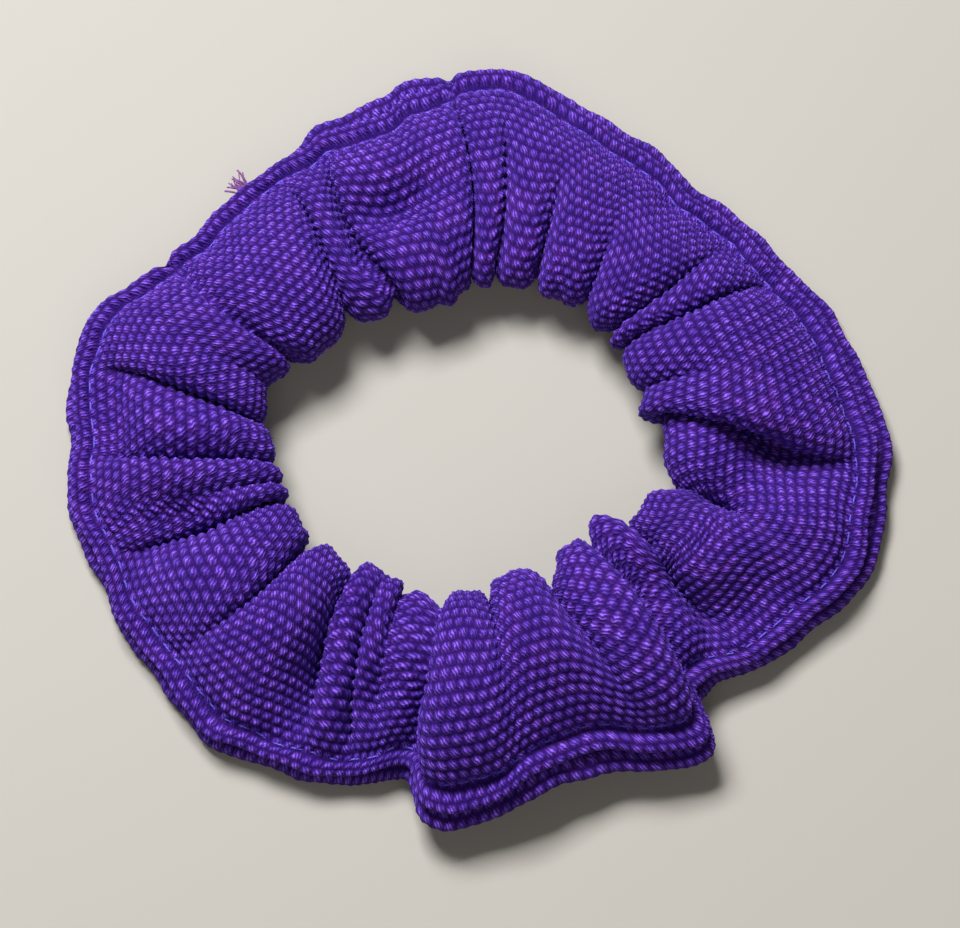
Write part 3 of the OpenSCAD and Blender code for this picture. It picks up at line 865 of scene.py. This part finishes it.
knit = knit_material()
plain_normals, lapped_normals = seam_normals(PLAIN_SEAM), seam_normals(LAPPED_SEAM)
long_face = Face(long_cloth, lapped_normals, plain_normals)
short_face = Face(short_cloth, plain_normals, None)
lap_length = row_length(LAPPED_AT, LAPPED_AT + UNDERLAP)
for face in (long_face, short_face):
    face.groove(TOP_STITCH_ROW)
    face.groove(UNDER_STITCH_ROW)
# At the plain seam both strips turn in; at the lapped one the long strip's folded end lies on top
SEAM_DIP, SEAM_REACH = 1.1, 0.7
FOLD_DIP, FOLD_REACH = 1.3, 0.8
UNDERLAP_DIP = 1.4
long_face.move(-SEAM_DIP * np.exp(-(long_face.from_last / SEAM_REACH) ** 2))
short_face.move(-SEAM_DIP * np.exp(-(short_face.from_first / SEAM_REACH) ** 2))
long_face.move(-FOLD_DIP * np.exp(-(long_face.from_first / FOLD_REACH) ** 2))
short_face.move(-UNDERLAP_DIP * (1 - smoothstep(lap_length - 1.5, lap_length + 2.5,
                                                short_face.from_last)))
long_piece = cloth_piece("knit_long_strip", long_face.knitted(3), long_cloth, knit)
short_piece = cloth_piece("knit_short_strip", short_face.knitted(4), short_cloth, knit)

# ---- threads ----


def tube_shape(line, radius, sides, closed=False):
    """Points, faces and UVs of a round thread along a line of points."""
    line = np.asarray(line, float)
    if closed:
        ahead = np.roll(line, -1, axis=0) - np.roll(line, 1, axis=0)
    else:
        ahead = np.gradient(line, axis=0)
    ahead = unit(ahead)
    side = np.cross(ahead[0], [0, 0, 1.0] if abs(ahead[0][2]) < 0.9 else [1.0, 0, 0])
    sides_at = []
    for step in ahead:
        side = unit(side - step * np.dot(side, step))
        sides_at.append(side)
    sides_at = np.array(sides_at)
    up = np.cross(ahead, sides_at)
    turn = 2 * np.pi * np.arange(sides) / sides
    radii = np.broadcast_to(radius, (len(line),))[:, None, None]
    rings = (line[:, None] + radii * (np.cos(turn)[None, :, None] * sides_at[:, None]
                                      + np.sin(turn)[None, :, None] * up[:, None]))
    count = len(line)
    faces = []
    for k in range(count if closed else count - 1):
        low, high = k * sides, (k + 1) % count * sides
        for j in range(sides):
            n = (j + 1) % sides
            faces.append((low + j, low + n, high + n, high + j))
    if not closed:
        faces.append(tuple(range(sides))[::-1])
        faces.append(tuple((count - 1) * sides + j for j in range(sides)))
    step = np.linalg.norm(np.diff(line, axis=0), axis=1)
    along = np.concatenate([[0], np.cumsum(step)])
    uv = np.stack([np.repeat(along, sides), np.tile(np.arange(sides) / sides, count)], -1)
    return rings.reshape(-1, 3), faces, uv


def tubes(name, lines, radii, sides, material, closed=False):
    """One piece of several threads."""
    points, faces, uvs, start = [], [], [], 0
    for line, radius in zip(lines, radii):
        own_points, own_faces, own_uv = tube_shape(line, radius, sides, closed)
        points.append(own_points)
        faces += [tuple(start + k for k in face) for face in own_faces]
        uvs.append(own_uv)
        start += len(own_points)
    return mesh_piece(name, np.concatenate(points), faces, np.concatenate(uvs), material)


def tube(name, line, radius, sides, material, closed=False):
    return tubes(name, [line], [radius], sides, material, closed)


def line_on(face, at_row):
    """Points and normals of a face along one row, at every mesh column."""
    at = at_row * PER_STITCH
    low = int(at)
    share = at - low
    line = face.plain[low] * (1 - share) + face.plain[low + 1] * share
    return line, unit(face.normal[low] * (1 - share) + face.normal[low + 1] * share)


STITCH_POINTS = 12         # points along each stitch
STITCH_DIP = 0.9           # how far the thread goes down between two stitches
THREAD_SIDES = 6


def topstitching(name, at_row, lies_at, material):
    """One thread round the whole flange, down through the cloth between its stitches."""
    long_line, long_up = line_on(long_face, at_row)
    short_line, short_up = line_on(short_face, at_row)
    lap = int(round(lap_length / COURSE * PER_STITCH))
    line = np.concatenate([long_line[:-2], short_line[2:-lap - 2]])
    up = np.concatenate([long_up[:-2], short_up[2:-lap - 2]])
    whole = np.concatenate([line, line[:1]])
    steps = np.linalg.norm(np.diff(whole, axis=0), axis=1)
    length = np.concatenate([[0], np.cumsum(steps)])
    stitches = round(length[-1] / STITCH_PITCH)
    count = stitches * STITCH_POINTS
    at = np.arange(count) / count * length[-1]

    def read(values):
        return np.stack([np.interp(at, length, np.append(values[:, k], values[0, k]))
                         for k in range(3)], 1)

    line, up = read(line), unit(read(up))
    for _ in range(6):
        line = (np.roll(line, 1, 0) + 2 * line + np.roll(line, -1, 0)) / 4
    phase = np.arange(len(line)) / STITCH_POINTS % 1
    dip = np.exp(-(np.minimum(phase, 1 - phase) / 0.16) ** 2)
    line = line + up * (lies_at - STITCH_DIP * dip)[:, None]
    return tube(name, line, THREAD / 2, THREAD_SIDES, material, True)


# Colours: painted shade between the plies, then the thread's own violet
thread = thread_material("violet_sewing_thread", (0.03, 0.012, 0.24), (0.11, 0.065, 0.68), 1.6, 0.4)
needle = topstitching("needle_topstitching", TOP_STITCH_ROW, 0.02, thread)
bobbin = topstitching("bobbin_topstitching", UNDER_STITCH_ROW, 0.12, thread)


def seam_stitching(name, face, last, inset, zigzag, depth):
    """Small stitches to and fro across a cross seam, inside the cover."""
    column = -1 if last else 0
    rows = np.arange(UPPER_LIP_ROW + 3, LOWER_LIP_ROW - 2) * PER_STITCH
    edge = face.plain[rows, column]
    up = face.normal[rows, column]
    away = unit(edge - face.plain[rows, column + (-6 if last else 6)])
    sway = np.where(np.arange(len(rows)) % 2 == 0, zigzag, -zigzag)
    line = edge - up * depth + away * (sway + inset)[:, None]
    return tube(name, finer(line, 4), THREAD / 2, THREAD_SIDES, thread)


cross_seam = seam_stitching("cross_seam_stitching", long_face, True, 0, 0.7, 0.6)
closing = seam_stitching("closing_stitching", long_face, False, 0.2, 0.6, 0.2)

# ---- elastic ----

# Direction where the lap starts, degrees it covers, and degrees over which its end climbs
LAP_FROM, LAP_DEGREES, LAP_CLIMB = 330, 22, 70
RIBS = 6                   # ribs across the width
TACK_LEGS = 24             # straight legs of the tack's zigzag
TACK_INSET = 0.6           # from the edges of the elastic
TACK_STANDS = 0.2          # how far the thread stands off the faces


def elastic_band():
    """Flat braided elastic: one band whose outer end laps over its inner end."""
    height = elastic_high[2] - elastic_low[2]
    turns = np.arange(0, 360 + LAP_DEGREES, 0.75)
    climb = ELASTIC_LAP_BULGE * smoothstep(360 - LAP_CLIMB, 360, turns)
    inside = elastic_radius(LAP_FROM + turns)
    angle = np.radians(LAP_FROM + turns)
    edge = 2 * np.pi * np.arange(32) / 32
    # a flat section with round corners, walked once round
    section_out = ELASTIC_THICK / 2 * np.sign(np.cos(edge)) * np.abs(np.cos(edge)) ** 0.35
    section_up = height / 2 * np.sign(np.sin(edge)) * np.abs(np.sin(edge)) ** 0.8
    rib = 0.06 * np.cos(2 * np.pi * RIBS * section_up / height) * np.sign(section_out)
    middle_z = (elastic_low[2] + elastic_high[2]) / 2
    points = []
    for k, (a, lift) in enumerate(zip(angle, climb)):
        braid = 0.05 * np.cos(2 * np.pi * RIBS * section_up / height + np.pi * (k % 2))
        out = (section_out * 0.92 + rib + braid * np.sign(section_out)
               + ELASTIC_THICK / 2 + lift)
        radius = inside[k] + out
        points.append(np.stack([RING[0] + radius * math.cos(a), RING[1] + radius * math.sin(a),
                                middle_z + section_up], -1))
    points = np.array(points)
    count, sides = points.shape[:2]
    faces = [(k * sides + j, k * sides + (j + 1) % sides,
              (k + 1) * sides + (j + 1) % sides, (k + 1) * sides + j)
             for k in range(count - 1) for j in range(sides)]
    faces.append(tuple(range(sides))[::-1])
    faces.append(tuple((count - 1) * sides + j for j in range(sides)))
    along = np.repeat(np.arange(count) * 0.45, sides)
    uv = np.stack([along, np.tile(section_up, count)], -1)
    material, tree, skin = shaded("braided_elastic", 0.7, Sheen_Weight=0.3)
    uv_node = tree.nodes.new("ShaderNodeUVMap")
    uv_node.uv_map = "Cloth"
    braid = placed(tree, STITCHES, Strands=2.0, Slant=-1.0)
    tree.links.new(uv_node.outputs[0], braid.inputs["Cloth"])
    # Painted shade: the elastic is coloured grey in the gaps between its braided strands and pale on
    # their tops
    tree.links.new(mixed(tree, braid.outputs["Stitch"], (0.50, 0.49, 0.46), (0.82, 0.81, 0.78)),
                   skin.inputs["Base Color"])
    tree.links.new(calc(tree, "MULTIPLY_ADD", braid.outputs["Strand"], -0.2, 0.8),
                   skin.inputs["Roughness"])
    tree.links.new(bump(tree, braid.outputs["Height"], 0.5, 0.15), skin.inputs["Normal"])
    return mesh_piece("braided_elastic_loop", points.reshape(-1, 3), faces, uv, material)


def elastic_tack():
    """The bar tack that joins the lapped ends of the elastic: a zigzag through both layers."""
    low, high = elastic_low[2] + TACK_INSET, elastic_high[2] - TACK_INSET
    line = []
    for k in range(TACK_LEGS + 1):
        turn = LAP_FROM + 3 + (LAP_DEGREES - 6) * k / TACK_LEGS
        a = math.radians(turn)
        radius = float(elastic_radius(turn))
        out = -TACK_STANDS if k // 2 % 2 == 0 else ELASTIC_THICK + ELASTIC_LAP_BULGE + TACK_STANDS
        z = low if k % 2 == 0 else high
        line.append([RING[0] + (radius + out) * math.cos(a),
                     RING[1] + (radius + out) * math.sin(a), z])
    return tube("elastic_bar_tack", finer(np.array(line), 3), THREAD / 2, THREAD_SIDES, thread)


elastic = elastic_band()
tack = elastic_tack()

# ---- the frayed yarn end that stands out between the lips ----

FRAY_AT = 130              # direction
FRAY_HAIRS = 26
# The darker colour is painted shade between the plies of the yarn
fray_yarn = thread_material("frayed_purple_yarn", (0.07, 0.012, 0.12), (0.26, 0.075, 0.31),
                            0.8, 0.8)


def frayed_end():
    """Loose hairs that fan out and curl from one root inside the flange."""
    own = np.random.default_rng(8)
    turn = math.radians(FRAY_AT)
    lip = float(around(LIP, LIP_SOFT, np.array([FRAY_AT]))[0])
    root = np.array([RING[0] + (lip - 1.5) * math.cos(turn),
                     RING[1] + (lip - 1.5) * math.sin(turn), FLOOR + 3.4])
    outward = np.array([math.cos(turn), math.sin(turn), 0.0])
    aside = np.array([-math.sin(turn), math.cos(turn), 0.0])
    lines, radii = [], []
    for _ in range(FRAY_HAIRS):
        spread = own.normal(0, 0.42)
        length = own.uniform(2.0, 3.9)
        curl = own.uniform(-0.9, 0.9)
        rise = own.uniform(0.1, 0.8)
        t = np.linspace(0, 1, 12)[:, None]
        line = (root + aside * spread * 0.6 + outward * length * t
                + aside * (spread * 1.3 * t + curl * t ** 2 * np.cos(3 * t))
                + np.array([0, 0, 1.0]) * (rise * np.sin(2.4 * t)))
        line[:, 2] = np.maximum(line[:, 2], FLOOR + 0.1)
        lines.append(line)
        radii.append(own.uniform(0.08, 0.15))
    return tubes("frayed_yarn_end", lines, radii, 5, fray_yarn)


fray = frayed_end()

# ---- what each piece rides on ----

PIECES = {
    "cover_long_strip": long_piece, "cover_short_strip": short_piece, "elastic_band": elastic,
    "elastic_join_thread": tack, "needle_thread": needle, "bobbin_thread": bobbin,
    "cross_seam_thread": cross_seam, "closing_thread": closing,
}
for piece in list(PIECES.values()) + [fray]:
    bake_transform(piece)
for node, piece in PIECES.items():
    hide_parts(node)
